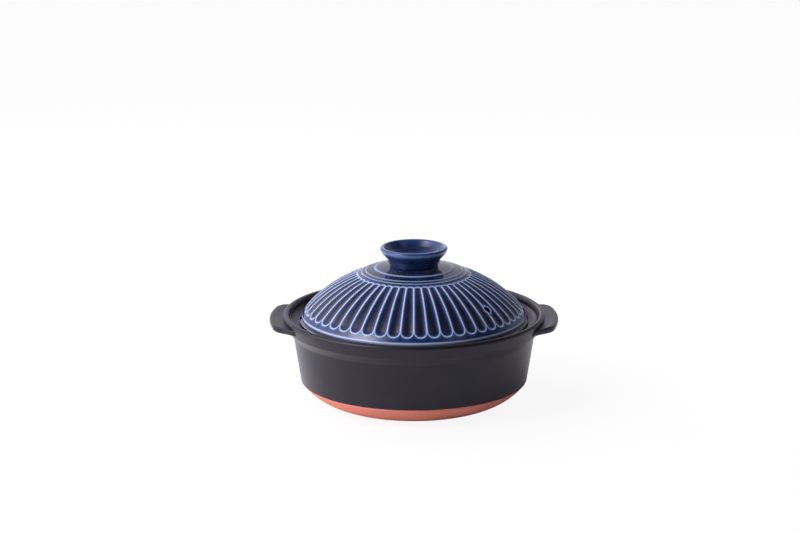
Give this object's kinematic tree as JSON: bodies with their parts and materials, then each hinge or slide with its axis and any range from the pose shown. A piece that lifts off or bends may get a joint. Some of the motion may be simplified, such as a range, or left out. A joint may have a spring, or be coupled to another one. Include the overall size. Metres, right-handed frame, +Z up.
{
  "type": "donabe clay pot",
  "caption": "Thick-walled donabe clay pot for the stove, with ear handles and a loose domed lid that is carved with flutes and carries a hollow ring knob.",
  "frame": {"origin": "centre of the foot, on the table", "axes": "+Z up along the axis of the pot and its lid, +X towards the right-hand ear, -Y towards the front"},
  "size_m": [0.285, 0.2584, 0.1545],
  "materials": {
    "black_glaze": "satin",
    "bare_clay": "matt",
    "navy_glaze": "gloss"
  },
  "bodies": {
    "pot": {"bowl_wall": "black_glaze", "bowl_foot": "bare_clay", "left_handle": "black_glaze", "right_handle": "black_glaze"},
    "lid": {"lid_dome": "navy_glaze", "lid_knob": "navy_glaze"}
  },
  "joints": [
    {"name": "lid_lift", "type": "slide", "parent": "pot", "child": "lid", "axis": [0, 0, 1], "range_m": [0, 0.12]}
  ]
}
